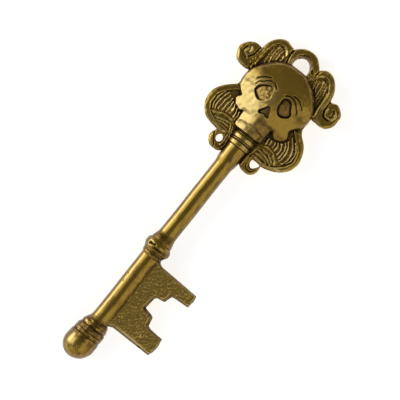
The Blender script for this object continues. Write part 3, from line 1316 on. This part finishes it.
def antique_brass(name, polish, handled, shine, grain, lines):
    """Brass that is rubbed bright on its heights and dark brown in its hollows.

    polish is how little the surface is stained, handled how bright its edges are worn, shine
    the roughness where it is clean, grain the depth of the cast skin in millimetres, and lines
    that of the marks along the shank.
    """
    finish = Finish(name)
    where = finish.place()
    tight, fine, broad, tarnish, worn = (finish.attribute(name) for name in SURFACE_MARKS)
    cloud = finish.noise(where, 5.0, detail=4.0)
    mottle = finish.noise(where, 1.1, detail=4.0, roughness=0.6)
    smudge = finish.noise(where, 2.2, detail=5.0, roughness=0.62, distortion=0.6)
    speck = finish.noise(where, 0.28, detail=2.0)
    drawn = finish.noise(finish.stretched(14.0), 0.35, detail=3.0)

    hollow = fine.between(0.02, 0.16) * 0.9 + broad.between(0.05, 0.75) * 0.7
    hollow = hollow + tight.between(0.010, 0.07) * 0.8 + (mottle - 0.5) * 0.5
    stained = hollow + tarnish + (cloud - 0.5) * 1.5 + (smudge - 0.5) * 1.2
    brown = (stained + (1 - polish) * 0.55).between(0.10, 1.0)
    dirt = (hollow + tarnish * 0.42 + (speck - 0.5) * 0.4).between(0.60, 1.25)
    crest = (0 - fine).between(0.01, 0.09) + (0 - tight).between(0.010, 0.045)
    crest = (crest * mottle.between(0.25, 0.6) * (1 - tarnish.smaller(1.0)) * handled).smaller(1.0)
    worn = worn * mottle.between(0.1, 0.5, 0.75, 1.0)

    tint = finish.blend(brown, BRASS, BROWNED)
    tint = finish.blend(crest, tint, BRIGHT)
    tint = finish.blend(worn, tint, POLISHED)
    tint = finish.blend(dirt * 0.92, tint, DIRT)
    metallic = 1 - dirt * 0.55
    roughness = shine + brown * 0.13 + dirt * 0.30 + (speck - 0.5) * 0.14 + (drawn - 0.5) * 0.14
    roughness = roughness + (1 - polish) * 0.14 - worn * 0.04

    pits = finish.cells(where + (mottle * 0.3), 1.7).between(0.07, 0.16, 1.0, 0.0)
    relief = (mottle * 0.5 + speck * 0.5) * grain + drawn * lines - pits * 0.03
    return finish.close(tint, metallic, roughness, finish.bump(relief), Coat_Weight=0.35,
                        Coat_Roughness=0.15, Coat_IOR=1.5)


FINISHES = {
    "turned": antique_brass("turned_antique_brass", 0.85, 0.5, 0.20, grain=0.022, lines=0.03),
    "skull": antique_brass("rubbed_antique_brass", 0.90, 0.5, 0.37, grain=0.020, lines=0.012),
    "relief": antique_brass("relief_antique_brass", 0.66, 0.9, 0.20, grain=0.025, lines=0.0),
    "rough": antique_brass("sand_cast_brass", 1.0, 1.0, 0.30, grain=0.08, lines=0.0),
}
WHICH_FINISH = {"skull": "skull", "bit": "rough", "bow_plate": "rough"}
for node, piece in pieces.items():
    finish = WHICH_FINISH.get(node, "turned" if node in TURNED_PIECES else "relief")
    piece.data.materials.clear()
    piece.data.materials.append(FINISHES[finish])


# Floor, light and camera
FLOOR_SIZE = 6.0
FLOOR_GREY = 0.86
FLOOR_GLOW = 0.72
WORLD_GREY = 0.17


def add_floor():
    deselect()
    bpy.ops.mesh.primitive_plane_add(size=FLOOR_SIZE, location=(0, 0, 0))
    floor = bpy.context.object
    floor.name = "floor"
    finish = Finish("white_floor")
    paths = finish.tree.nodes.new("ShaderNodeLightPath")
    camera, glossy, through = (
        Wire(finish, paths.outputs[f"Is {way} Ray"]) for way in ("Camera", "Glossy", "Transmission"))
    seen = camera.larger(glossy).larger(through)
    matt = finish.node("ShaderNodeBsdfDiffuse", {}, {"Color": colour(*[FLOOR_GREY] * 3)})
    glow = finish.node("ShaderNodeEmission", {}, {"Strength": seen * FLOOR_GLOW})
    both = finish.node("ShaderNodeAddShader", {}, {0: matt, 1: glow})
    floor.data.materials.append(finish.shade(both))


def softbox(name, azimuth, elevation, distance, width, height, radiance):
    """A rectangular lamp turned to the middle of the key: azimuth in degrees from X toward Y."""
    level = distance * math.cos(math.radians(elevation))
    place = (level * math.cos(math.radians(azimuth)), level * math.sin(math.radians(azimuth)),
             distance * math.sin(math.radians(elevation)))
    data = bpy.data.lights.new(name, "AREA")
    data.shape = "RECTANGLE"
    data.size = width
    data.size_y = height
    data.energy = radiance * math.pi * width * height
    lamp = bpy.data.objects.new(name, data)
    bpy.context.scene.collection.objects.link(lamp)
    lamp.location = place
    aim = Vector((0, 0, axis_z * MM)) - Vector(place)
    lamp.rotation_mode = "QUATERNION"
    lamp.rotation_quaternion = aim.to_track_quat("-Z", "Y")
    lamp.visible_camera = False


def add_world():
    world = bpy.data.worlds.new("studio")
    bpy.context.scene.world = world
    world.use_nodes = True
    background = world.node_tree.nodes["Background"]
    background.inputs["Color"].default_value = colour(*[WORLD_GREY] * 3)
    background.inputs["Strength"].default_value = 1.0


CAMERA_TURN = math.radians(38.54)
CAMERA_AIM = (1.31, 3.46)
CAMERA_DISTANCE = 750.0
FRAME_WIDTH = 154.04
SENSOR = 36.0


def add_camera():
    """Straight over the key, turned as the photograph is."""
    data = bpy.data.cameras.new("camera")
    data.sensor_width = SENSOR
    data.lens = SENSOR * CAMERA_DISTANCE / FRAME_WIDTH
    data.clip_start = 0.01
    camera = bpy.data.objects.new("camera", data)
    bpy.context.scene.collection.objects.link(camera)
    camera.location = (CAMERA_AIM[0] * MM, CAMERA_AIM[1] * MM,
                       (axis_z + CAMERA_DISTANCE) * MM)
    camera.rotation_euler = (0, 0, CAMERA_TURN)
    bpy.context.scene.camera = camera


add_floor()
add_world()
softbox("window", 192, 27, 0.60, 0.48, 0.52, 0.70)
softbox("window_glow", 192, 27, 0.62, 0.66, 0.64, 0.40)
softbox("window_sill", 192, 12, 0.55, 0.50, 0.20, 0.42)
softbox("left_wall", 191, 33, 0.90, 2.60, 0.90, 0.16)
softbox("panel", -14, 40, 0.60, 0.84, 0.66, 0.50)
softbox("front", -90, 24, 0.70, 0.70, 0.42, 0.36)
add_camera()
bpy.context.scene.view_settings.view_transform = "Standard"
